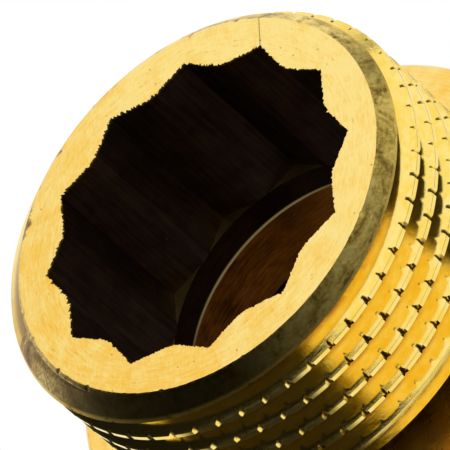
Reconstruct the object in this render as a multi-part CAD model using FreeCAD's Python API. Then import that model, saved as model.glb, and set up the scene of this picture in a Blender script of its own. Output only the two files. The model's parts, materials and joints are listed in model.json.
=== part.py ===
import FreeCAD, Part
import math
import os

# Threaded extension fitting, turned from one brass bar, in millimetres.
# It stands on the open end of its socket with its axis along +Z, so the threaded
# spigot is at the top and the origin is the centre of the lower end face.

# Driving dimensions of the spigot's thread, a 3/4 inch parallel pipe thread
thread_crest_radius = 13.22
thread_pitch = 1.814
thread_depth = 1.162
flank_angle = 27.5
root_flat = 0.30
first_crest_below_face = 1.98
first_crest_angle = -33.3

# Driving dimensions of the spigot
spigot_length = 12.3
end_face_inset = 0.21
end_chamfer_height = 1.15
neck_width = 0.45
neck_relief = 0.1

# Driving dimensions of the notches that the sealing fibre grips
notch_count = 53
notch_depth = 0.24
notch_half_width = 0.20
notched_length = 8.2

# Driving dimensions of the body
body_length = 20.0
socket_wall = 4.04
shoulder_chamfer = 0.25
rear_chamfer = 0.6

# Driving dimensions of the key socket, a hexagon pressed into the pilot bore twice
key_across_flats = 17.42
key_depth = 11.3
pilot_radius = 9.10

# Driving dimensions of the socket, tapped from below for a spigot like the fitting's own
mouth_clearance = 0.23
socket_roof_angle = 30.0
pilot_length = 12.9
pilot_edge_radial = 0.15
pilot_edge_height = 0.40

# Sizes that follow from the driving ones
total_height = body_length + spigot_length
thread_root_radius = thread_crest_radius - thread_depth
neck_radius = thread_root_radius - neck_relief
end_face_radius = thread_root_radius - end_face_inset
socket_radius = thread_root_radius
mouth_radius = thread_crest_radius + mouth_clearance
mouth_chamfer = mouth_radius - socket_radius
body_radius = socket_radius + socket_wall

# How far the groove's cutter carries its flanks, and then its straight sides, past the crests
flank_overreach = 0.1
groove_overreach = 0.5
flank_reach = thread_depth + flank_overreach
groove_half_mouth = root_flat / 2 + flank_reach * math.tan(math.radians(flank_angle))

# The most turns that the groove's cutter makes in one run, because longer ones cut unevenly
longest_run = 1

VERTICAL = FreeCAD.Vector(0, 0, 1)
CENTRE = FreeCAD.Vector(0, 0, 0)


def ring_point(radius, height):
    """A point of the turned outline, in the plane of X and Z."""
    return FreeCAD.Vector(radius, 0, height)


def revolved(outline):
    """A closed outline of ring points, turned a full circle about the axis."""
    wire = Part.makePolygon(outline + [outline[0]])
    return Part.Face(wire).revolve(CENTRE, VERTICAL, 360)


def spigot_blank():
    """The spigot turned, before its thread, notches and bore."""
    neck_top = body_length + neck_width
    return revolved([
        ring_point(0, body_length),
        ring_point(neck_radius, body_length),
        ring_point(neck_radius, neck_top),
        ring_point(thread_crest_radius, neck_top + thread_crest_radius - neck_radius),
        ring_point(thread_crest_radius, total_height - end_chamfer_height),
        ring_point(end_face_radius, total_height),
        ring_point(0, total_height),
    ])


def body_blank():
    """The round body turned, still solid."""
    return revolved([
        ring_point(0, 0),
        ring_point(body_radius - rear_chamfer, 0),
        ring_point(body_radius, rear_chamfer),
        ring_point(body_radius, body_length - shoulder_chamfer),
        ring_point(body_radius - shoulder_chamfer, body_length),
        ring_point(0, body_length),
    ])


def socket_bore():
    """What is bored out from below: the socket, its sloping roof and the edge of the pilot bore."""
    edge_bottom = total_height - pilot_length
    edge_radius = pilot_radius + pilot_edge_radial
    roof_drop = (socket_radius - edge_radius) * math.tan(math.radians(socket_roof_angle))
    roof_top = edge_bottom - pilot_edge_height
    floor = total_height - key_depth
    return revolved([
        ring_point(0, 0),
        ring_point(mouth_radius, 0),
        ring_point(socket_radius, mouth_chamfer),
        ring_point(socket_radius, roof_top - roof_drop),
        ring_point(edge_radius, roof_top),
        ring_point(pilot_radius, edge_bottom),
        ring_point(pilot_radius, floor),
        ring_point(0, floor),
    ])


def key_socket():
    """The bore above, with two hexagonal prisms 30 degrees apart that leave twelve pointed flutes."""
    tip_radius = key_across_flats / 2 / math.cos(math.radians(30))
    floor = total_height - key_depth
    prisms = [Part.makeCylinder(pilot_radius, key_depth + 1, FreeCAD.Vector(0, 0, floor))]
    for start_angle in (0, 30):
        corners = []
        for side in range(7):
            angle = math.radians(start_angle + 60 * side)
            corners.append(
                FreeCAD.Vector(tip_radius * math.cos(angle), tip_radius * math.sin(angle), floor)
            )
        prisms.append(Part.Face(Part.makePolygon(corners)).extrude(VERTICAL * (key_depth + 1)))
    return prisms[0].fuse(prisms[1:])


def groove_section(height):
    """The groove's cutter seen from the side, centred at this height."""
    half_root = root_flat / 2
    corners = [
        ring_point(thread_root_radius, height - half_root),
        ring_point(thread_crest_radius + flank_overreach, height - groove_half_mouth),
        ring_point(thread_crest_radius + groove_overreach, height - groove_half_mouth),
        ring_point(thread_crest_radius + groove_overreach, height + groove_half_mouth),
        ring_point(thread_crest_radius + flank_overreach, height + groove_half_mouth),
        ring_point(thread_root_radius, height + half_root),
    ]
    return Part.makePolygon(corners + [corners[0]])


def groove_run(start, turns):
    """The cutter carried up a right-handed helix from this height, for this many turns."""
    path = Part.makeHelix(thread_pitch, thread_pitch * turns, thread_root_radius)
    path.translate(VERTICAL * start)
    return Part.Wire(path.Edges).makePipeShell([groove_section(start)], True, True)


def cut_thread(spigot):
    """The spigot with its groove, cut in short runs from just below it to just above it."""
    crest_height = total_height - first_crest_below_face
    groove_height = crest_height - thread_pitch * first_crest_angle / 360 + thread_pitch / 2
    lowest = body_length - groove_half_mouth
    start = groove_height - thread_pitch * math.ceil((groove_height - lowest) / thread_pitch)
    turns = (total_height + groove_half_mouth - start) / thread_pitch
    runs = math.ceil(turns / longest_run)
    for run in range(runs):
        low = start + thread_pitch * turns * run / runs
        turned = 360 * turns * run / runs
        cutter = groove_run(low, turns / runs)
        cutter.rotate(CENTRE, VERTICAL, turned)
        spigot = spigot.cut(cutter)
    return spigot


def notch(angle):
    """One straight V along the crests nearest the end face."""
    outer = thread_crest_radius + notch_depth
    half_mouth = 2 * notch_half_width
    floor = total_height - notched_length
    corners = [
        FreeCAD.Vector(thread_crest_radius - notch_depth, 0, floor),
        FreeCAD.Vector(outer, half_mouth, floor),
        FreeCAD.Vector(outer, -half_mouth, floor),
    ]
    wedge = Part.Face(Part.makePolygon(corners + [corners[0]])).extrude(VERTICAL * notched_length)
    wedge.rotate(CENTRE, VERTICAL, angle)
    return wedge


def notches():
    """The whole ring of notches, the first in line with the first crest's start."""
    step = 360 / notch_count
    return Part.makeCompound([notch(first_crest_angle + step * i) for i in range(notch_count)])


def extension_body():
    """The finished fitting, one solid, bored after it is turned and threaded."""
    spigot = cut_thread(spigot_blank()).cut(notches())
    turned = body_blank().fuse(spigot).removeSplitter()
    return turned.cut(socket_bore()).cut(key_socket())


os.makedirs("parts", exist_ok=True)
fitting = extension_body()
print("solids", len(fitting.Solids), "valid", fitting.isValid(), "volume", round(fitting.Volume, 1))
print("height", fitting.BoundBox.ZLength, "across", fitting.BoundBox.XLength)
fitting.exportStep("parts/extension_body.step")
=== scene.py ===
# %% [markdown]
# The object is a turned brass pipe extension. Its spigot points up, with a notched
# pipe thread outside and a twelve-point key socket inside, and it stands on the mouth
# of its own threaded socket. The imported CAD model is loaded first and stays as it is:
# it fixes the sizes, and everything below is built inside its box.

# %% Load the frame
import json
import math

import bmesh
import bpy
from mathutils import Matrix, Vector, noise


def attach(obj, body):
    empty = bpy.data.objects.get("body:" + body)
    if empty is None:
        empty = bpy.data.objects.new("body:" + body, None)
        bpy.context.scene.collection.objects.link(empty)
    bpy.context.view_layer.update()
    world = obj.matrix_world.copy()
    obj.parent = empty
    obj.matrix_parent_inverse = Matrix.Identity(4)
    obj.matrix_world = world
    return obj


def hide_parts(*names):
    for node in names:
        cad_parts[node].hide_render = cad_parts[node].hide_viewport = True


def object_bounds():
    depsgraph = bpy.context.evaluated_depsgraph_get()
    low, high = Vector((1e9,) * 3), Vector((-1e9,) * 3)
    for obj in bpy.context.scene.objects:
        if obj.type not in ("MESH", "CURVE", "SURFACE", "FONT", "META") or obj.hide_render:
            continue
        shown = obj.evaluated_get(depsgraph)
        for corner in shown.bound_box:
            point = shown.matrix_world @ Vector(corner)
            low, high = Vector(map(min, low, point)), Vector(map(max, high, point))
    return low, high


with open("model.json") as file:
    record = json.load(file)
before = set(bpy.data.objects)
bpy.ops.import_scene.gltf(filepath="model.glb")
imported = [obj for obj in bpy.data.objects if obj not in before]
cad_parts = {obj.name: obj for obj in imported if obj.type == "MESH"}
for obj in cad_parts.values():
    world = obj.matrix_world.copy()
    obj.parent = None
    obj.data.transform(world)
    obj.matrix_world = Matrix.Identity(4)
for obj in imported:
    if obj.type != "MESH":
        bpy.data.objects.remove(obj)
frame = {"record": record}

cad_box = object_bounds()
print("CAD box in metres", [[round(c, 5) for c in corner] for corner in cad_box])

# %% [markdown]
# A pipe thread is a small thing, so the shapes are worked out in millimetres and the
# finished mesh is scaled to metres once. The sizes that a mating part would feel come
# from the frame's own record, where each mount states its radius and length. Only the
# sizes that no mount holds are named here.

# %% Sizes in millimetres
MM = 0.001
mounts = {mount["name"]: mount["dims"] for mount in frame["record"]["mounts"]}
TOP = cad_box[1].z / MM
BODY_RADIUS = mounts["body_outside"]["r_mm"]
CREST_RADIUS = mounts["spigot_thread"]["r_mm"]
SHOULDER = 20.0
ROOT_RADIUS = mounts["socket_thread"]["r_mm"]
PILOT_RADIUS = mounts["through_bore"]["r_mm"]
PILOT_LENGTH = mounts["through_bore"]["length_mm"]
KEY_HALF_FLATS = mounts["key_socket"]["r_mm"]
KEY_DEPTH = mounts["key_socket"]["length_mm"]
PITCH = 1.814
FLANK_ANGLE = math.radians(27.5)
ROOT_FLAT = 0.30
FIRST_CREST_BELOW_TOP = 1.98
FIRST_CREST_ANGLE = math.radians(-33.3)
END_FACE_RADIUS = ROOT_RADIUS - 0.21
END_CHAMFER_HEIGHT = 1.15
NECK_RADIUS = ROOT_RADIUS - 0.10
NECK_WIDTH = 0.45
MOUTH_RADIUS = CREST_RADIUS + 0.23
print("height", round(TOP, 2), "thread", CREST_RADIUS, "over", ROOT_RADIUS, "body", BODY_RADIUS)

# %% [markdown]
# On a lathe every form starts as an outline that is turned about the axis. Blender's
# spin operator does the same: it carries a chain of edges round in small steps. With a
# rise for each step it also cuts a screw. Sharp corners look false on metal, because a
# real edge has a small radius that catches the light, so an outline's corners are
# rounded with true arcs before it is spun.

# %% Outlines and spinning
ARC_STEPS = 3
SPIN_STEPS = 360
# Points nearer to each other than this are merged, and a height is met within the other
MERGED = 0.002
TOUCHING = 0.001


def rounded(outline):
    """Points of (radius, height, fillet) with each corner that has a fillet made an arc."""
    points = []
    for i, (r, z, fillet) in enumerate(outline):
        corner = Vector((r, z))
        if not fillet or i in (0, len(outline) - 1):
            points.append(corner)
            continue
        before = (corner - Vector(outline[i - 1][:2])).normalized()
        after = (Vector(outline[i + 1][:2]) - corner).normalized()
        turn = before.angle_signed(after)
        side = Vector((before.y, -before.x)) * math.copysign(1, turn)
        start = corner - before * fillet * math.tan(abs(turn) / 2)
        for step in range(ARC_STEPS + 1):
            angle = abs(turn) * step / ARC_STEPS
            along = before * math.sin(angle) + side * (1 - math.cos(angle))
            points.append(start + along * fillet)
    return points


def chain(bm, points):
    """A chain of edges through these points, in the plane of X and Z."""
    verts = [bm.verts.new((point.x, 0, point.y)) for point in points]
    return verts + [bm.edges.new(pair) for pair in zip(verts, verts[1:])]


def turned(outline, steps=SPIN_STEPS):
    """A solid turned from an outline that starts and ends on the axis."""
    bm = bmesh.new()
    geom = chain(bm, rounded(outline))
    bmesh.ops.spin(bm, geom=geom, axis=(0, 0, 1), angle=2 * math.pi, steps=steps, use_merge=True)
    bmesh.ops.remove_doubles(bm, verts=bm.verts, dist=MERGED)
    bmesh.ops.recalc_face_normals(bm, faces=bm.faces)
    return bm


# %% [markdown]
# The thread itself is one tooth of the outline, from the middle of one root to the
# middle of the next, spun upwards by one turn. That turn is copied as often as needed,
# a pitch higher each time. Each turn ends exactly where the next begins, so merging
# doubles closes the wall. Both ends are drawn to a flat disc, which makes the screw a
# closed solid that can be used as a cutter or be cut itself. It runs a pitch past each
# end of what is wanted.

# %% A threaded rod
CREST_FILLET = 0.025
ROOT_FILLET = 0.10
END_DISC = 0.8


def tooth(crest, root, root_flat, crest_fillet):
    """One pitch of the thread's outline, centred on its crest."""
    flank = (crest - root) * math.tan(FLANK_ANGLE)
    low = PITCH / 2 - root_flat / 2
    half_crest = low - flank
    half = [(root, PITCH / 2, 0), (root, low, ROOT_FILLET), (crest, half_crest, crest_fillet)]
    return [(r, -z, fillet) for r, z, fillet in half] + list(reversed(half))


def closed_end(bm, loop, height, disc_radius):
    """Draw the open loop of a screw's end to a flat disc at this height."""
    ring = bmesh.ops.extrude_edge_only(bm, edges=loop)["geom"]
    verts = [v for v in ring if isinstance(v, bmesh.types.BMVert)]
    for v in verts:
        direction = Vector((v.co.x, v.co.y)).normalized() * disc_radius
        v.co = (direction.x, direction.y, height)
    bmesh.ops.remove_doubles(bm, verts=verts, dist=MERGED)
    edges = [
        e for e in bm.edges
        if e.is_boundary and all(abs(v.co.z - height) < TOUCHING for v in e.verts)
    ]
    bmesh.ops.contextual_create(bm, geom=edges)


def threaded_rod(outline, crest_height, low, high, steps=SPIN_STEPS):
    """A right-handed screw with a crest at this height at azimuth 0, covering low to high."""
    bm = bmesh.new()
    start = crest_height - PITCH * math.ceil((crest_height - low) / PITCH + 1)
    turns = math.ceil((high - start) / PITCH + 1)
    points = [point + Vector((0, start)) for point in rounded(outline)]
    bmesh.ops.spin(
        bm, geom=chain(bm, points), axis=(0, 0, 1), dvec=(0, 0, PITCH / steps),
        angle=2 * math.pi, steps=steps,
    )
    one_turn = bm.verts[:] + bm.edges[:] + bm.faces[:]
    for turn in range(1, turns):
        copied = bmesh.ops.duplicate(bm, geom=one_turn)["geom"]
        verts = [g for g in copied if isinstance(g, bmesh.types.BMVert)]
        bmesh.ops.translate(bm, verts=verts, vec=(0, 0, PITCH * turn))
    bmesh.ops.remove_doubles(bm, verts=bm.verts, dist=2 * MERGED)
    disc = outline[0][0] * END_DISC
    middle = start + turns * PITCH / 2
    edges = [e for e in bm.edges if e.is_boundary]
    below = [e for e in edges if e.verts[0].co.z < middle]
    above = [e for e in edges if e.verts[0].co.z >= middle]
    closed_end(bm, below, start - 1.5 * PITCH, disc)
    closed_end(bm, above, start + (turns + 1.5) * PITCH, disc)
    bmesh.ops.recalc_face_normals(bm, faces=bm.faces)
    return bm


# %% [markdown]
# The forms are then joined and cut with Blender's Boolean modifier, as a machinist
# would take metal away. Each step turns the two meshes into a new one, so nothing stays
# live in the scene.

# %% Cutting and joining
def as_object(bm, name):
    """The bmesh as an object, for the modifiers."""
    mesh = bpy.data.meshes.new(name)
    bm.to_mesh(mesh)
    bm.free()
    made = bpy.data.objects.new(name, mesh)
    bpy.context.scene.collection.objects.link(made)
    return made


def worked(blank, operation, tool_bm, name):
    """The blank after this tool has been joined to it, cut from it or met with it."""
    tool = as_object(tool_bm, name)
    step = blank.modifiers.new(name, "BOOLEAN")
    step.solver = "MANIFOLD"
    step.operation = operation
    step.object = tool
    graph = bpy.context.evaluated_depsgraph_get()
    mesh = bpy.data.meshes.new_from_object(blank.evaluated_get(graph))
    blank.modifiers.clear()
    old = blank.data
    blank.data = mesh
    bpy.data.meshes.remove(old)
    tool_mesh = tool.data
    bpy.data.objects.remove(tool)
    bpy.data.meshes.remove(tool_mesh)
    print(f"{operation.lower()} {name}: {len(mesh.polygons)} faces")
    return blank


# %% [markdown]
# The spigot is where a threaded rod and a turned outline overlap. The outline brings
# the chamfered end, which cuts the first thread away at a slant, and the neck where the
# thread runs out above the shoulder. The rim of the end face is not a perfect circle:
# a facing tool leaves small nicks and dents in soft brass, so its ring of points is
# moved in and out a little by a noise that depends only on where the point lies.

# %% Spigot
RIM_ROUGHNESS = 0.025
RIM_BAND = 0.2
# Azimuth in degrees, width in degrees and depth in millimetres of the deeper nicks
RIM_NICKS = (
    (99.5, 2.2, 0.40), (103, 1.4, 0.18), (76.5, 1.6, 0.22), (72, 0.8, 0.12), (95, 0.8, 0.14),
    (88, 0.8, 0.10), (61, 0.8, 0.08), (27, 1.2, 0.12), (38, 0.8, 0.08), (12, 0.9, 0.10),
    (-11, 1.0, 0.08), (-90, 0.8, 0.08), (129, 0.7, 0.09), (139, 0.8, 0.10), (155, 0.9, 0.12),
    (168, 0.7, 0.08), (-166, 0.8, 0.07), (-140, 0.7, 0.06),
)
ENVELOPE_SPARE = 0.25
NECK_OVERLAP = 0.5
ENVELOPE_STEPS = 720


def wrapped(angle):
    """An angle brought between -180 and 180 degrees."""
    return (angle + 180) % 360 - 180


def rim_offset(azimuth):
    """How far the end face's rim stands out from its circle here."""
    around = Vector((math.cos(azimuth), math.sin(azimuth), 0)) * END_FACE_RADIUS
    offset = RIM_ROUGHNESS * (noise.noise(around * 1.1) + 0.8 * noise.noise(around * 4.3))
    for centre, width, depth in RIM_NICKS:
        away = abs(wrapped(math.degrees(azimuth) - centre)) / width
        offset -= depth * max(0, 1 - away) ** 0.7
    return offset


def spigot_envelope():
    """The turned outline that the thread is cut within."""
    run_out = CREST_RADIUS + ENVELOPE_SPARE
    slope = END_CHAMFER_HEIGHT / (CREST_RADIUS - END_FACE_RADIUS)
    bm = turned([
        (0, SHOULDER - NECK_OVERLAP, 0),
        (NECK_RADIUS, SHOULDER - NECK_OVERLAP, 0),
        (NECK_RADIUS, SHOULDER + NECK_WIDTH, 0),
        (run_out, SHOULDER + NECK_WIDTH + run_out - NECK_RADIUS, 0),
        (run_out, TOP - slope * (run_out - END_FACE_RADIUS), 0),
        (END_FACE_RADIUS + RIM_BAND / slope, TOP - RIM_BAND, 0),
        (END_FACE_RADIUS, TOP, 0),
        (0, TOP, 0),
    ], ENVELOPE_STEPS)
    for v in bm.verts:
        if v.co.z > TOP - TOUCHING and v.co.xy.length > END_FACE_RADIUS - TOUCHING:
            offset = rim_offset(math.atan2(v.co.y, v.co.x))
            v.co.xy = v.co.xy.normalized() * (END_FACE_RADIUS + offset)
    return bm


crest_at_zero = TOP - FIRST_CREST_BELOW_TOP - PITCH * FIRST_CREST_ANGLE / (2 * math.pi)
spigot_tooth = tooth(CREST_RADIUS, ROOT_RADIUS, ROOT_FLAT, CREST_FILLET)
spigot = as_object(threaded_rod(spigot_tooth, crest_at_zero, SHOULDER, TOP), "spigot")
worked(spigot, "INTERSECT", spigot_envelope(), "envelope")

# %% [markdown]
# A toothed wheel has pressed notches across the crests nearest the end, so that sealing
# fibre can't slip. They are V grooves, all alike, so one wedge is made and turned round
# the axis as often as there are notches. Small differences of depth from notch to notch
# keep them from looking machine-copied.

# %% Notches
NOTCH_COUNT = 53
NOTCH_DEPTH = 0.27
NOTCH_HALF_WIDTH = 0.21
NOTCHED_LENGTH = 8.2
NOTCHES_BELOW_TOP = 1.3
NOTCH_VARIATION = 0.05


def notch_wedges():
    """All the wedges that cut the notches, each a closed prism."""
    bm = bmesh.new()
    for i in range(NOTCH_COUNT):
        angle = FIRST_CREST_ANGLE + 2 * math.pi * i / NOTCH_COUNT
        depth = NOTCH_DEPTH + NOTCH_VARIATION * noise.noise(Vector((i * 0.73, 0.4, 0)))
        corners = [
            bm.verts.new((CREST_RADIUS - depth, 0, TOP - NOTCHES_BELOW_TOP)),
            bm.verts.new((CREST_RADIUS + depth, -2 * NOTCH_HALF_WIDTH, TOP - NOTCHES_BELOW_TOP)),
            bm.verts.new((CREST_RADIUS + depth, 2 * NOTCH_HALF_WIDTH, TOP - NOTCHES_BELOW_TOP)),
        ]
        face = bm.faces.new(corners)
        grown = bmesh.ops.extrude_face_region(bm, geom=[face], use_keep_orig=True)["geom"]
        lower = [v for v in grown if isinstance(v, bmesh.types.BMVert)]
        bmesh.ops.translate(bm, verts=lower, vec=(0, 0, NOTCHES_BELOW_TOP - NOTCHED_LENGTH))
        bmesh.ops.rotate(bm, verts=corners + lower, matrix=Matrix.Rotation(angle, 3, "Z"))
    bmesh.ops.recalc_face_normals(bm, faces=bm.faces)
    return bm


worked(spigot, "DIFFERENCE", notch_wedges(), "notches")

# %% [markdown]
# The body is a plain turned ring with a small chamfer at the shoulder and a larger one
# at the socket's mouth. The spigot's neck reaches half a millimetre into it, so the two
# join into one solid, as on the real part, which is turned from one bar.

# %% Body
SHOULDER_CHAMFER = 0.25
REAR_CHAMFER = 0.6
BODY_FILLET = 0.06
fitting = as_object(turned([
    (0, 0, 0),
    (BODY_RADIUS - REAR_CHAMFER, 0, BODY_FILLET),
    (BODY_RADIUS, REAR_CHAMFER, BODY_FILLET),
    (BODY_RADIUS, SHOULDER - SHOULDER_CHAMFER, BODY_FILLET),
    (BODY_RADIUS - SHOULDER_CHAMFER, SHOULDER, BODY_FILLET),
    (0, SHOULDER, 0),
]), "extension_brass")
joined = bmesh.new()
joined.from_mesh(spigot.data)
bpy.data.objects.remove(spigot)
worked(fitting, "UNION", joined, "spigot")

# %% [markdown]
# From below, the socket is bored to the thread's root and its roof slopes up to the
# pilot bore. A second threaded rod then cuts the female thread, which stops short of
# the roof, where the tap's taper runs out.

# %% Socket and pilot bore
PILOT_EDGE_RADIAL = 0.15
PILOT_EDGE_HEIGHT = 0.40
ROOF_SLOPE = math.tan(math.radians(30))
BORE_OVERLAP = 0.5
TAP_END = 12.9
TAP_TAPER = 2.2
TAP_ROOT_FLAT = 0.25
TAP_CREST_HEIGHT = 0.4
TAP_STEPS = 180
BELOW = -1.0

edge_bottom = TOP - PILOT_LENGTH
roof_top = edge_bottom - PILOT_EDGE_HEIGHT
edge_radius = PILOT_RADIUS + PILOT_EDGE_RADIAL
roof_bottom = roof_top - (ROOT_RADIUS - edge_radius) * ROOF_SLOPE
mouth_top = MOUTH_RADIUS - ROOT_RADIUS
worked(fitting, "DIFFERENCE", turned([
    (0, BELOW, 0),
    (MOUTH_RADIUS - BELOW, BELOW, 0),
    (ROOT_RADIUS, mouth_top, 0.05),
    (ROOT_RADIUS, roof_bottom, 0.3),
    (edge_radius, roof_top, 0.03),
    (PILOT_RADIUS, edge_bottom, 0.03),
    (PILOT_RADIUS, TOP - KEY_DEPTH + BORE_OVERLAP, 0),
    (0, TOP - KEY_DEPTH + BORE_OVERLAP, 0),
]), "bore")

tap_tooth = tooth(CREST_RADIUS + 0.05, ROOT_RADIUS - 0.1, TAP_ROOT_FLAT, CREST_FILLET)
tap = as_object(threaded_rod(tap_tooth, TAP_CREST_HEIGHT, BELOW, TAP_END, TAP_STEPS), "tap")
worked(tap, "INTERSECT", turned([
    (0, BELOW, 0),
    (CREST_RADIUS + 0.3, BELOW, 0),
    (CREST_RADIUS + 0.3, TAP_END - TAP_TAPER, 0),
    (ROOT_RADIUS - 0.2, TAP_END, 0),
    (0, TAP_END, 0),
], TAP_STEPS), "tap_end")
tap_bm = bmesh.new()
tap_bm.from_mesh(tap.data)
bpy.data.objects.remove(tap)
worked(fitting, "DIFFERENCE", tap_bm, "female_thread")

# %% [markdown]
# The key socket is a hexagon that was pressed in twice, a twelfth of a turn apart. Its
# outline is the larger of the two hexagons and the pilot bore in every direction, so a
# finely divided circle is drawn out to it. Pressing tears the brass where the tool
# enters: the wall is smooth further down, but its rim is ragged, with small burrs that
# lean in and chips that break out. The rim's rings are moved by a fine noise that fades
# within a quarter of a millimetre of depth.

# %% Key socket
STAR_STEPS = 1800
STAR_RINGS = ((0.4, 1.0), (0.0, 1.0), (-0.06, 0.75), (-0.13, 0.4), (-0.24, 0.1), (-0.5, 0.0))
BURR_SIZE = 0.20
CHIP_SIZE = 0.5
# Azimuth where the rim is torn most, and the least share of it elsewhere
TORN_SIDE = math.radians(70)
TORN_LEAST = 0.45


def star_radius(azimuth):
    """The key socket's wall in this direction."""
    radius = PILOT_RADIUS
    for flat_centre in (0, 30):
        off = math.radians((math.degrees(azimuth) - flat_centre) % 60 - 30)
        radius = max(radius, KEY_HALF_FLATS / math.cos(off))
    return radius


def burr(azimuth):
    """How far the torn rim stands out from the wall: chips are positive, burrs negative."""
    place = Vector((math.cos(azimuth), math.sin(azimuth), 0)) * PILOT_RADIUS
    torn = max(TORN_LEAST, TORN_LEAST + (1 - TORN_LEAST) * math.cos(azimuth - TORN_SIDE))
    fine = 0.8 * noise.noise(place * 5) + noise.noise(place * 12)
    chip = max(0, noise.noise(place * 3.1 + Vector((7, 3, 1))) - 0.32)
    lean = min(0, noise.noise(place * 4.0 + Vector((1, 9, 5))) + 0.40)
    return torn * (BURR_SIZE * fine + CHIP_SIZE * chip + BURR_SIZE * 2 * lean)


def star_cutter():
    """The key socket as a solid, from above the end face to the flutes' floor."""
    bm = bmesh.new()
    bmesh.ops.create_circle(bm, radius=PILOT_RADIUS, segments=STAR_STEPS)
    ring, loop = bm.verts[:], bm.edges[:]
    bmesh.ops.contextual_create(bm, geom=loop)
    for depth, roughness in STAR_RINGS + ((-KEY_DEPTH, 0.0),):
        for v in ring:
            azimuth = math.atan2(v.co.y, v.co.x)
            radius = star_radius(azimuth) + roughness * burr(azimuth)
            v.co = (radius * math.cos(azimuth), radius * math.sin(azimuth), TOP + depth)
        if depth > -KEY_DEPTH:
            grown = bmesh.ops.extrude_edge_only(bm, edges=loop)["geom"]
            ring = [g for g in grown if isinstance(g, bmesh.types.BMVert)]
            loop = [g for g in grown if isinstance(g, bmesh.types.BMEdge)]
    bmesh.ops.contextual_create(bm, geom=loop)
    bmesh.ops.recalc_face_normals(bm, faces=bm.faces)
    return bm


worked(fitting, "DIFFERENCE", star_cutter(), "key_socket")

# %% [markdown]
# Every region of the part was left by another tool, so each gets its own finish. A face
# is told by where it lies and which way it looks, which is simpler than carrying marks
# through all the cuts. The points on the chamfer's lower edge and on the thread's crests
# are marked as worn: in places the chamfer is painted brighter there, a painted highlight
# as well as worn metal, and the crests are made a little rougher. The bottoms of the
# notches are marked for a painted shade. The mesh is then scaled to metres and shaded
# smooth, with the edges that turn sharply kept crisp.

# %% Regions
FINISHES = ("end_face", "chamfer", "thread", "broached", "pilot", "socket", "turned")
CRISP_ANGLE = math.radians(28)
# How closely a face of the chamfer leans and lies as its cone does
CONE_TILT = 0.08
CONE_GAP = 0.06
# Above this depth the thread's groove runs out on the chamfer and shares its finish
RUN_OUT_DEPTH = 0.62
CREST_BAND = 0.05
NOTCH_SHADE_REACH = 0.06


def region_of(face):
    """The name of the finish for this face of the mesh in millimetres."""
    centre = face.calc_center_median()
    radius = centre.xy.length
    inward = face.normal.xy.dot(centre.xy) < -0.1 * radius
    if centre.z > TOP - 0.01:
        return "end_face"
    if centre.z > TOP - KEY_DEPTH + 0.02 and radius < END_FACE_RADIUS - 0.8 and inward:
        return "broached"
    if centre.z > roof_top - 0.01 and radius < END_FACE_RADIUS - 0.8:
        return "pilot"
    if radius < CREST_RADIUS + 0.2 and centre.z < roof_top + 0.01 and (inward or face.normal.z < 0):
        return "socket" if centre.z > 0.05 else "turned"
    cone_radius = END_FACE_RADIUS + (TOP - centre.z) * cone_run / END_CHAMFER_HEIGHT
    leans_as_cone = abs(face.normal.z - cone_normal_z) < CONE_TILT
    if leans_as_cone and abs(radius - cone_radius) < CONE_GAP:
        return "chamfer"
    if centre.z > TOP - RUN_OUT_DEPTH and face.normal.z > 0:
        return "chamfer"
    if centre.z > SHOULDER + 0.01:
        return "thread"
    return "turned"


fitting.data.materials.clear()
cone_run = CREST_RADIUS - END_FACE_RADIUS
cone_normal_z = cone_run / math.hypot(cone_run, END_CHAMFER_HEIGHT)
bm = bmesh.new()
bm.from_mesh(fitting.data)
counts = dict.fromkeys(FINISHES, 0)
for face in bm.faces:
    region = region_of(face)
    face.material_index = FINISHES.index(region)
    face.smooth = True
    counts[region] += 1
for edge in bm.edges:
    edge.smooth = edge.is_manifold and edge.calc_face_angle() < CRISP_ANGLE
wear = bm.verts.layers.float.new("wear")
grime = bm.verts.layers.float.new("grime")
for v in bm.verts:
    touched = {FINISHES[face.material_index] for face in v.link_faces}
    above_neck = v.co.z > SHOULDER + 1
    on_crest = above_neck and v.co.xy.length > CREST_RADIUS - CREST_BAND
    # Marked for worn metal, and on the chamfer for a painted edge highlight
    v[wear] = float("thread" in touched and ("chamfer" in touched or on_crest))
    # The bottoms of the notches are marked for a painted shade
    off_notch = abs(v.co.xy.length - CREST_RADIUS + NOTCH_DEPTH)
    v[grime] = float(touched == {"thread"} and above_neck and off_notch < NOTCH_SHADE_REACH)
bmesh.ops.scale(bm, verts=bm.verts, vec=(MM, MM, MM))
bm.to_mesh(fitting.data)
bm.free()
print("faces by finish", counts)

# %% [markdown]
# A smooth-shaded face takes its normals from its corners, and there a long flank would
# be bent towards the narrow rounding beside it. So each corner gets the average of the
# faces around it weighted by their area, which lets the large faces stay flat. Faces on
# the other side of a crisp edge don't count.

# %% Normals
def weighted_normals(mesh):
    """One normal for each corner of each face, in the mesh's own order."""
    bm = bmesh.new()
    bm.from_mesh(mesh)
    weights = [face.normal * face.calc_area() / MM ** 2 for face in bm.faces]
    limit = math.cos(CRISP_ANGLE)
    normals = []
    for face in bm.faces:
        for loop in face.loops:
            total = Vector()
            for other in loop.vert.link_faces:
                if other.normal.dot(face.normal) > limit:
                    total += weights[other.index]
            normals.append(total.normalized())
    bm.free()
    return normals


fitting.data.normals_split_custom_set(weighted_normals(fitting.data))
print("triangles", sum(len(p.vertices) - 2 for p in fitting.data.polygons))

# %% [markdown]
# Materials are built from nodes, and node graphs are hard to read as code. One small
# class therefore wraps an output socket, so that shader maths can be written as sums in
# Python: each operator adds the Math node that does it.

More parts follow.
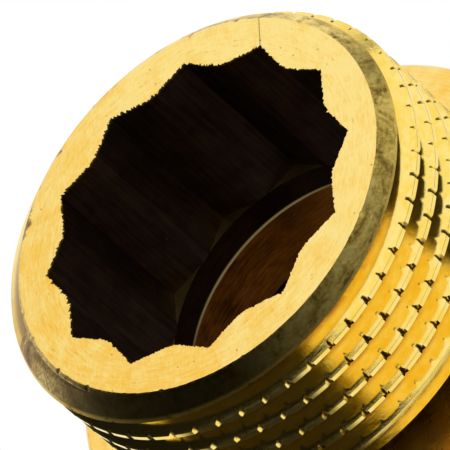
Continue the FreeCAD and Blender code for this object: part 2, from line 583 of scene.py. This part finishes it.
# %% A socket that does sums
class Signal:
    """One output of a shader node."""

    def __init__(self, tree, socket=None):
        self.tree = tree
        self.socket = socket

    def node(self, kind, settings=None, inputs=None, output=0):
        """Any node: its settings are made first, then its sockets are filled or linked."""
        made = self.tree.nodes.new(kind)
        for name, value in (settings or {}).items():
            if name == "stops":
                ramp = made.color_ramp
                ramp.elements[0].position, ramp.elements[0].color = value[0]
                ramp.elements[1].position, ramp.elements[1].color = value[-1]
                for position, colour in value[1:-1]:
                    ramp.elements.new(position).color = colour
            else:
                setattr(made, name, value)
        for name, value in (inputs or {}).items():
            if isinstance(value, Signal):
                self.tree.links.new(value.socket, made.inputs[name])
            else:
                made.inputs[name].default_value = value
        return Signal(self.tree, made.outputs[output]) if len(made.outputs) else None

    def sibling(self, output):
        """Another output of the same node."""
        return Signal(self.tree, self.socket.node.outputs[output])

    def maths(self, operation, *values):
        return self.node("ShaderNodeMath", {"operation": operation}, dict(enumerate(values)))

    def __add__(self, other):
        return self.maths("ADD", self, other)

    def __sub__(self, other):
        return self.maths("SUBTRACT", self, other)

    def __rsub__(self, other):
        return self.maths("SUBTRACT", other, self)

    def __mul__(self, other):
        return self.maths("MULTIPLY", self, other)

    def __truediv__(self, other):
        return self.maths("DIVIDE", self, other)

    def __pow__(self, other):
        return self.maths("POWER", self, other)

    def __abs__(self):
        return self.maths("ABSOLUTE", self)

    __radd__ = __add__
    __rmul__ = __mul__

    def between(self, low, high, at_low=0.0, at_high=1.0):
        """A soft step from one value to the other as the signal goes from low to high."""
        return self.node("ShaderNodeMapRange", {"interpolation_type": "SMOOTHSTEP"}, {
            "Value": self, "From Min": low, "From Max": high, "To Min": at_low, "To Max": at_high,
        })

    def blend(self, first, second):
        """The first colour where the signal is 0 and the second where it is 1."""
        values = {0: self, 6: first, 7: second}
        return self.node("ShaderNodeMix", {"data_type": "RGBA"}, values, output=2)


def screen(red, green, blue):
    """A colour given as it looks on screen, 0 to 255, in the linear values of a shader."""
    def channel(value):
        share = value / 255
        return share / 12.92 if share <= 0.04045 else ((share + 0.055) / 1.055) ** 2.4
    return channel(red), channel(green), channel(blue), 1.0


# %% [markdown]
# Tool marks follow the tool. On a turned face they run round the axis, so the noise that
# draws them is read at a place made of the direction round the axis and the distance
# from it: slow in one and quick in the other, which stretches its grains into arcs. The
# direction is used as a cosine and a sine, because an angle would leave a seam.

# %% Places and patterns
class Ground:
    """The places on the part that its materials are drawn at, in millimetres."""

    def __init__(self, tree):
        start = Signal(tree)
        coordinates = start.node("ShaderNodeTexCoord", output=3)
        scaled = {"operation": "SCALE"}
        self.place = start.node("ShaderNodeVectorMath", scaled, {0: coordinates, "Scale": 1 / MM})
        self.x = start.node("ShaderNodeSeparateXYZ", inputs={0: self.place}, output=0)
        self.y, self.z = self.x.sibling(1), self.x.sibling(2)
        self.radius = (self.x * self.x + self.y * self.y) ** 0.5
        self.east, self.north = self.x / self.radius, self.y / self.radius

    def marked(self, name):
        """A mark that was put on the mesh's points, from 0 to 1."""
        return self.x.node("ShaderNodeAttribute", {"attribute_name": name}, output=2)

    def point(self, x, y, z):
        return self.x.node("ShaderNodeCombineXYZ", inputs={0: x, 1: y, 2: z})

    def rings(self, along, across):
        """Where facing marks are read: arcs round the axis on a flat face."""
        return self.point(self.east * along, self.north * along, self.radius * across)

    def hoops(self, along, across):
        """Where turning marks are read: arcs round the axis on an upright wall."""
        return self.point(self.east * along, self.north * along, self.z * across)

    def noise(self, place, scale=1.0, detail=2.0, roughness=0.5, distortion=0.0):
        return self.x.node("ShaderNodeTexNoise", inputs={
            "Vector": place, "Scale": scale, "Detail": detail, "Roughness": roughness,
            "Distortion": distortion,
        })

    def pits(self, scale, size, share):
        """Small round spots, 1 in their middle, in this share of the cells."""
        cell = self.x.node("ShaderNodeTexVoronoi", inputs={"Vector": self.place, "Scale": scale})
        cell_colour = cell.sibling("Color")
        chosen = cell_colour.node("ShaderNodeSeparateColor", inputs={0: cell_colour})
        return cell.between(size, 0.3 * size) * chosen.between(1 - share, 1 - share + 0.02)


def finish(name, draw):
    """A metal whose colour, roughness and relief are drawn by this function of the ground."""
    material = bpy.data.materials.new(name)
    material.use_nodes = True
    tree = material.node_tree
    shader = tree.nodes["Principled BSDF"]
    shader.inputs["Metallic"].default_value = 1.0
    colour, roughness, relief, micrometres = draw(Ground(tree))
    tree.links.new(colour.socket, shader.inputs["Base Color"])
    tree.links.new(roughness.socket, shader.inputs["Roughness"])
    bumped = relief.node("ShaderNodeBump", inputs={
        "Strength": 1.0, "Distance": micrometres * 1e-6, "Height": relief,
    })
    tree.links.new(bumped.socket, shader.inputs["Normal"])
    material.diffuse_color = BRASS
    return material


BRASS = screen(251, 213, 104)
PALE_BRASS = screen(255, 229, 142)
DEEP_BRASS = screen(248, 196, 74)
YELLOW_BRASS = screen(250, 214, 92)
STAIN = screen(120, 84, 26)
RED_BROWN = screen(170, 92, 26)

# %% [markdown]
# The end face was faced on the lathe and then handled. It is a pale yellow brass with
# fine arcs, cloudy warmer patches, dark pits and one thin scratch from a flute's tip out
# to the rim.

# %% End face
SCRATCH_START = KEY_HALF_FLATS / math.cos(math.radians(30))
SCRATCH_DIRECTION = math.radians(27.5)


def draw_end_face(ground):
    fine = ground.noise(ground.rings(9, 8), 1.0, 5.0, 0.7, 0.3)
    along = ground.x * 0.9 + ground.y * 0.5
    across = ground.y * 5.5 - ground.x * 3.0
    slanted = ground.noise(ground.point(along, across, ground.radius), 1.3, 4.0, 0.7, 0.6)
    cloud = ground.noise(ground.place, 0.55, 4.0, 0.62, 0.8)
    spots = ground.pits(2.3, 0.17, 0.16)
    run, rise = math.cos(SCRATCH_DIRECTION), math.sin(SCRATCH_DIRECTION)
    off_line = abs(ground.y * run - (ground.x - SCRATCH_START) * rise)
    line = off_line.between(0.045, 0.015) * ground.x.between(SCRATCH_START - 0.2, SCRATCH_START)
    paler = (ground.x - ground.y * 0.5).between(-14, 14, -0.06, 0.10)
    tone = (fine * 0.55 + slanted * 0.35 + cloud * 0.55 + paler).between(0.50, 0.92)
    colour = tone.blend(DEEP_BRASS, PALE_BRASS)
    streak = fine.between(0.40, 0.30) * slanted.between(0.56, 0.44)
    worn = (streak * 0.55 + spots * 0.75 + line * 0.6).between(0.0, 1.0)
    colour = worn.blend(colour, STAIN)
    roughness = 0.24 + cloud * 0.16
    relief = fine * 0.6 + slanted * 0.5 - spots * 0.9 - line * 1.2
    return colour, roughness, relief, 14.0


# %% [markdown]
# The chamfer was not faced again: it has the duller, olive skin of brass that has been
# washed and stored, with darker blotches, paler patches and fine marks round the axis.
# One side is browner, and the side towards the dark room is painted dark, a painted
# shade. Both of its edges are painted brighter in places, a painted highlight as well as
# worn metal.

# %% Chamfer
def draw_chamfer(ground):
    marks = ground.noise(ground.rings(30, 9), 1.0, 4.0, 0.65, 0.4)
    blotch = ground.noise(ground.rings(5, 0.8), 1.0, 3.0, 0.6, 0.8)
    grain = ground.noise(ground.place, 5.0, 3.0, 0.6, 0.2)
    tone = blotch * 0.80 + marks * 0.20 + grain * 0.25
    colour = tone.node("ShaderNodeValToRGB", {"stops": (
        (0.42, screen(84, 66, 26)), (0.52, screen(156, 128, 56)), (0.61, screen(218, 188, 94)),
        (0.70, screen(251, 224, 126)), (0.82, screen(255, 234, 150)),
    )}, {0: tone})
    # Painted highlight with worn metal: both edges of the chamfer are painted brighter in places
    edge_wear_and_highlight = ground.marked("wear").between(0.78, 0.93) * marks.between(0.30, 0.45)
    touched = ground.radius.between(END_FACE_RADIUS + 0.10, END_FACE_RADIUS + 0.02)
    touched = touched * grain.between(0.45, 0.60)
    browner_side = (ground.north * 0.8 - ground.east * 0.6).between(0.55, 0.9)
    browner_side = browner_side * grain.between(0.25, 0.65)
    colour = (browner_side * 0.85).blend(colour, screen(136, 98, 70))
    # Painted shade: the side that faces the dark room is painted dark
    dark_side_shade = (ground.east * -0.978 - ground.north * 0.208).between(0.70, 0.95)
    colour = (dark_side_shade * 0.85).blend(colour, screen(66, 52, 22))
    colour = (edge_wear_and_highlight * 0.8 + touched * 0.7).blend(colour, BRASS)
    roughness = 0.46 - blotch * 0.2
    relief = marks * 0.5 + grain * 0.4 + blotch * 0.3
    return colour, roughness, relief, 14.0


# %% [markdown]
# The thread was cut last and is the cleanest metal. Its flanks mirror each other, which
# gives the roots their deep gold. Faint marks along the cut are added, the root is painted
# red-brown as a painted shade and partly as dirty metal, and the bottoms of the notches are
# painted dark as a painted shade. Where the groove runs out on the chamfer, its metal is as
# dull as the chamfer's.

# %% Thread
def draw_thread(ground):
    marks = ground.noise(ground.hoops(16, 7), 1.0, 4.0, 0.6, 0.2)
    cloud = ground.noise(ground.place, 0.9, 3.0, 0.6, 0.6)
    colour = (marks * 0.5 + cloud * 0.6).between(0.40, 0.75).blend(YELLOW_BRASS, PALE_BRASS)
    # Painted shade: the root of the groove is painted red-brown, partly as dirty metal
    root_shade_and_dirt = ground.radius.between(ROOT_RADIUS + 0.45, ROOT_RADIUS)
    root_shade_and_dirt = root_shade_and_dirt * cloud.between(0.35, 0.65, 0.1, 0.7)
    colour = root_shade_and_dirt.blend(colour, RED_BROWN)
    washed = ground.z.between(TOP - 1.05, TOP - RUN_OUT_DEPTH)
    colour = (washed * 0.85).blend(colour, screen(170, 130, 78))
    notch_bottom = CREST_RADIUS - NOTCH_DEPTH
    # Painted shade: the bottoms of the notches are painted dark
    notch_shade = ground.marked("grime").between(0.25, 0.70)
    notch_shade = notch_shade * ground.radius.between(notch_bottom - 0.07, notch_bottom)
    colour = (notch_shade * 0.9).blend(colour, screen(44, 28, 10))
    crest = ground.marked("wear").between(0.86, 0.97)
    roughness = 0.07 + marks * 0.08 + root_shade_and_dirt * 0.12 + crest * 0.05 + washed * 0.2 + notch_shade * 0.2
    relief = marks * 0.5 + cloud * 0.8
    return colour, roughness, relief, 7.0


# %% [markdown]
# The pressed walls of the key socket are painted dark, a painted shade for the deep hole,
# where hardly any light comes back. Their marks run along the axis.

# %% Key socket walls
def draw_broached(ground):
    drag = ground.noise(ground.point(ground.x * 5, ground.y * 5, ground.z * 0.25), 1.0, 4.0, 0.65)
    cloud = ground.noise(ground.place, 0.6, 3.0, 0.6)
    specks = ground.pits(1.1, 0.10, 0.10)
    # Painted shade: the walls of the deep hole are painted dark
    tone = (drag * 0.7 + cloud * 0.5).between(0.40, 0.85)
    colour = tone.blend(screen(78, 64, 55), screen(128, 104, 86))
    # Painted highlight: a band at the top keeps the brass colour, for the burrs on the rim
    rim = ground.z.between(TOP - 0.22, TOP - 0.02)
    colour = (rim * 0.85).blend(colour, BRASS)
    colour = (specks * 0.8).blend(colour, screen(200, 170, 110))
    return colour, 0.62 - drag * 0.16, drag, 12.0


# %% [markdown]
# Below the flutes a plain bore was drilled first. Its wall is painted as dark as the flutes,
# a painted shade, and its edge, broken with a small chamfer, is painted pale as a painted
# highlight. Deep in the socket behind it, the wall is painted brown as a painted shade,
# paler towards +X as painted light, over ringed brass.

# %% Pilot bore and socket
def draw_pilot(ground):
    marks = ground.noise(ground.hoops(10, 9), 1.0, 4.0, 0.6, 0.2)
    cloud = ground.noise(ground.place, 0.7, 3.0, 0.6)
    tone = (marks * 0.7 + cloud * 0.5).between(0.40, 0.85)
    # Painted shade: the wall of the bore is painted dark
    colour = tone.blend(screen(34, 20, 10), screen(70, 46, 24))
    # Painted highlight: the small chamfer at the edge is painted pale
    edge = ground.radius.between(PILOT_RADIUS + 0.02, PILOT_RADIUS + 0.06)
    colour = edge.blend(colour, PALE_BRASS)
    return colour, 0.38 - marks * 0.12, marks, 12.0


def draw_socket(ground):
    marks = ground.noise(ground.hoops(12, 6), 1.0, 4.0, 0.6, 0.2)
    cloud = ground.noise(ground.place, 0.5, 3.0, 0.6)
    tone = (marks * 0.6 + cloud * 0.6).between(0.40, 0.85)
    # Painted shade and light: deeper in the socket the wall is painted brown, paler towards +X
    deep = ground.z.between(2.0, 13.0)
    bright = tone.blend(DEEP_BRASS, BRASS)
    paler = tone * 0.6 + ground.east.between(0.3, 0.95) * 0.6
    brown = paler.blend(screen(84, 42, 8), screen(206, 122, 30))
    colour = deep.blend(bright, brown)
    return colour, 0.34 - marks * 0.12, marks, 12.0


# %% [markdown]
# The body is finish-turned bar: bright brass with a fine, even ring pattern from the
# feed of the tool, small dents and faint cloudy tarnish.

# %% Turned body
def draw_turned(ground):
    feed = ground.noise(ground.hoops(5, 11), 1.0, 3.0, 0.6, 0.1)
    faced = ground.noise(ground.rings(7, 9), 1.0, 4.0, 0.65, 0.2)
    cloud = ground.noise(ground.place, 0.4, 4.0, 0.6, 0.8)
    spots = ground.pits(1.4, 0.14, 0.14)
    tone = (feed * 0.35 + faced * 0.35 + cloud * 0.6).between(0.45, 0.85)
    colour = tone.blend(DEEP_BRASS, PALE_BRASS)
    colour = (spots * 0.6 + cloud.between(0.62, 0.78) * 0.25).blend(colour, STAIN)
    roughness = 0.20 + cloud * 0.16
    relief = feed * 0.8 + faced * 0.6 - spots
    return colour, roughness, relief, 10.0


drawn = {
    "end_face": draw_end_face, "chamfer": draw_chamfer, "thread": draw_thread,
    "broached": draw_broached, "pilot": draw_pilot, "socket": draw_socket, "turned": draw_turned,
}
for name in FINISHES:
    fitting.data.materials.append(finish(f"brass_{name}", drawn[name]))
print("materials", [material.name for material in fitting.data.materials])

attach(fitting, "root")
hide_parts("extension_body")

# %% [markdown]
# Polished metal is lit by what it mirrors, so the studio is planned from reflections. A
# large softbox behind and above fills the end face, the shoulder and the thread's upper
# flanks on the right. The pale floor and its horizon light the crests. Nothing stands in
# front on the left, as on a photographer's table with a dark room behind the camera, and
# the part is dark on that side. The camera itself sees only white behind the part.

# %% Floor
FLOOR_RADIUS = 3.0
# Where the studio has nothing bright: the azimuth, and how far to each side of it the
# dark is full and where it has ended, all in degrees
DARK_ROOM = (-172, 33, 47)
DARK_NEARBY = (-172, 22, 36)
TABLE_END = (-28, 30, 42)
FLOOR_DARK = 0.03
INSIDE_GLOW = 0.16
bm = bmesh.new()
bmesh.ops.create_circle(bm, cap_ends=True, radius=FLOOR_RADIUS, segments=96)
floor = as_object(bm, "floor")


def away_from(dark, east, north):
    """0 where a direction on the floor points into this dark, and 1 well beside it."""
    azimuth, full, ended = [math.radians(angle) for angle in dark]
    towards = east * math.cos(azimuth) + north * math.sin(azimuth)
    return towards.between(math.cos(ended), math.cos(full), 1.0, 0.0)


floor_material = bpy.data.materials.new("floor")
floor_material.use_nodes = True
tree = floor_material.node_tree
tree.nodes.clear()
ground = Ground(tree)
camera_ray = ground.x.node("ShaderNodeLightPath")
mirrored = camera_ray.sibling("Is Glossy Ray") + camera_ray.sibling("Is Transmission Ray")
seen_white = ground.radius.between(15.5, 30.0)
room = away_from(DARK_ROOM, ground.east, ground.north)
table_end = away_from(TABLE_END, ground.east, ground.north)
nearby = away_from(DARK_NEARBY, ground.east, ground.north)
far_off = ground.radius.between(52, 66)
table = 1 - (1 - table_end) * ground.radius.between(62, 84)
lit = far_off * room * table + (1 - far_off) * nearby
lit = lit.between(0, 1, FLOOR_DARK, 1.0)
# Painted shadow: under the part the floor's glow in reflections drops to INSIDE_GLOW, a faint painted
# glow that lights the socket
lit = lit * ground.radius.between(14.0, 19.0, INSIDE_GLOW, 1.0)
strength = camera_ray + mirrored * lit
white = ground.x.node("ShaderNodeEmission", inputs={"Color": (1, 1, 1, 1), "Strength": strength})
matte = ground.x.node("ShaderNodeBsdfDiffuse", inputs={"Color": (0.8, 0.8, 0.8, 1)})
glow = camera_ray * seen_white + mirrored
lit_floor = ground.x.node("ShaderNodeMixShader", inputs={0: glow, 1: matte, 2: white})
below = ground.x.node("ShaderNodeNewGeometry").sibling("Backfacing") * camera_ray
clear = ground.x.node("ShaderNodeBsdfTransparent")
shown = ground.x.node("ShaderNodeMixShader", inputs={0: below, 1: lit_floor, 2: clear})
ground.x.node("ShaderNodeOutputMaterial", inputs={"Surface": shown})
floor.data.materials.append(floor_material)

# %% World
DOME = 0.01
BEHIND = math.radians(35)
ROOM_HORIZON = (-172, 56, 72)
TABLE_HORIZON = (-28, 40, 52)
world = bpy.data.worlds.new("studio")
bpy.context.scene.world = world
world.use_nodes = True
tree = world.node_tree
tree.nodes.clear()
sky = Signal(tree)
direction = sky.node("ShaderNodeTexCoord", output=0)
east = sky.node("ShaderNodeSeparateXYZ", inputs={0: direction})
north, height = east.sibling(1), east.sibling(2)
behind = east * math.cos(BEHIND) + north * math.sin(BEHIND)
horizon = (height - behind.between(0.75, 0.93) * 0.16).between(0.12, 0.34, 1.0, 0.0)
horizon = horizon * away_from(ROOM_HORIZON, east, north)
horizon = horizon * away_from(TABLE_HORIZON, east, north)
camera_ray = sky.node("ShaderNodeLightPath")
strength = camera_ray + (1 - camera_ray) * (DOME + horizon * (1 - DOME))
backdrop = sky.node("ShaderNodeBackground", inputs={"Color": (1, 1, 1, 1), "Strength": strength})
sky.node("ShaderNodeOutputWorld", inputs={"Surface": backdrop})

# %% Softboxes
LAMP_DISTANCE = 0.9


def softbox(name, facing, side, centre, size, strength):
    """A flat lamp square to this direction. Its centre and size are in lamp distances."""
    facing = Vector(facing).normalized()
    across = Vector(side).normalized()
    up = facing.cross(across)
    data = bpy.data.lights.new(name, "AREA")
    data.shape = "RECTANGLE"
    data.size, data.size_y = size[0] * LAMP_DISTANCE, size[1] * LAMP_DISTANCE
    data.energy = strength * math.pi * data.size * data.size_y
    lamp = bpy.data.objects.new(name, data)
    bpy.context.scene.collection.objects.link(lamp)
    place = (facing + across * centre[0] + up * centre[1]) * LAMP_DISTANCE
    lamp.matrix_world = Matrix.Translation(place) @ Matrix((across, up, facing)).transposed().to_4x4()
    return lamp


softbox("softbox_back", (0.60, 0.28, 0.75), (-0.423, 0.906, 0), (0.05, 0.42), (1.80, 1.66), 1.02)

# %% [markdown]
# The camera stands where the photograph was taken from. It was found by fitting the
# circles, the flutes' tips and the notches of the real part.

# %% Camera
CAMERA_PLACE = Vector((-162.45, -312.55, 348.42)) * MM
CAMERA_LENS = 688.2
CAMERA_RIGHT = Vector((0.35181, -0.7519, -0.55756))
CAMERA_FORWARD = Vector((0.34227, 0.65772, -0.67101))
camera_data = bpy.data.cameras.new("camera")
camera_data.lens = CAMERA_LENS
camera_data.sensor_width = 36
camera_data.clip_start = 0.01
camera = bpy.data.objects.new("camera", camera_data)
bpy.context.scene.collection.objects.link(camera)
turn = Matrix((CAMERA_RIGHT, CAMERA_RIGHT.cross(CAMERA_FORWARD), -CAMERA_FORWARD)).transposed()
camera.matrix_world = Matrix.Translation(CAMERA_PLACE) @ turn.to_4x4()
bpy.context.scene.camera = camera
bpy.context.scene.view_settings.view_transform = "Standard"
print("camera at", [round(c, 4) for c in camera.location])
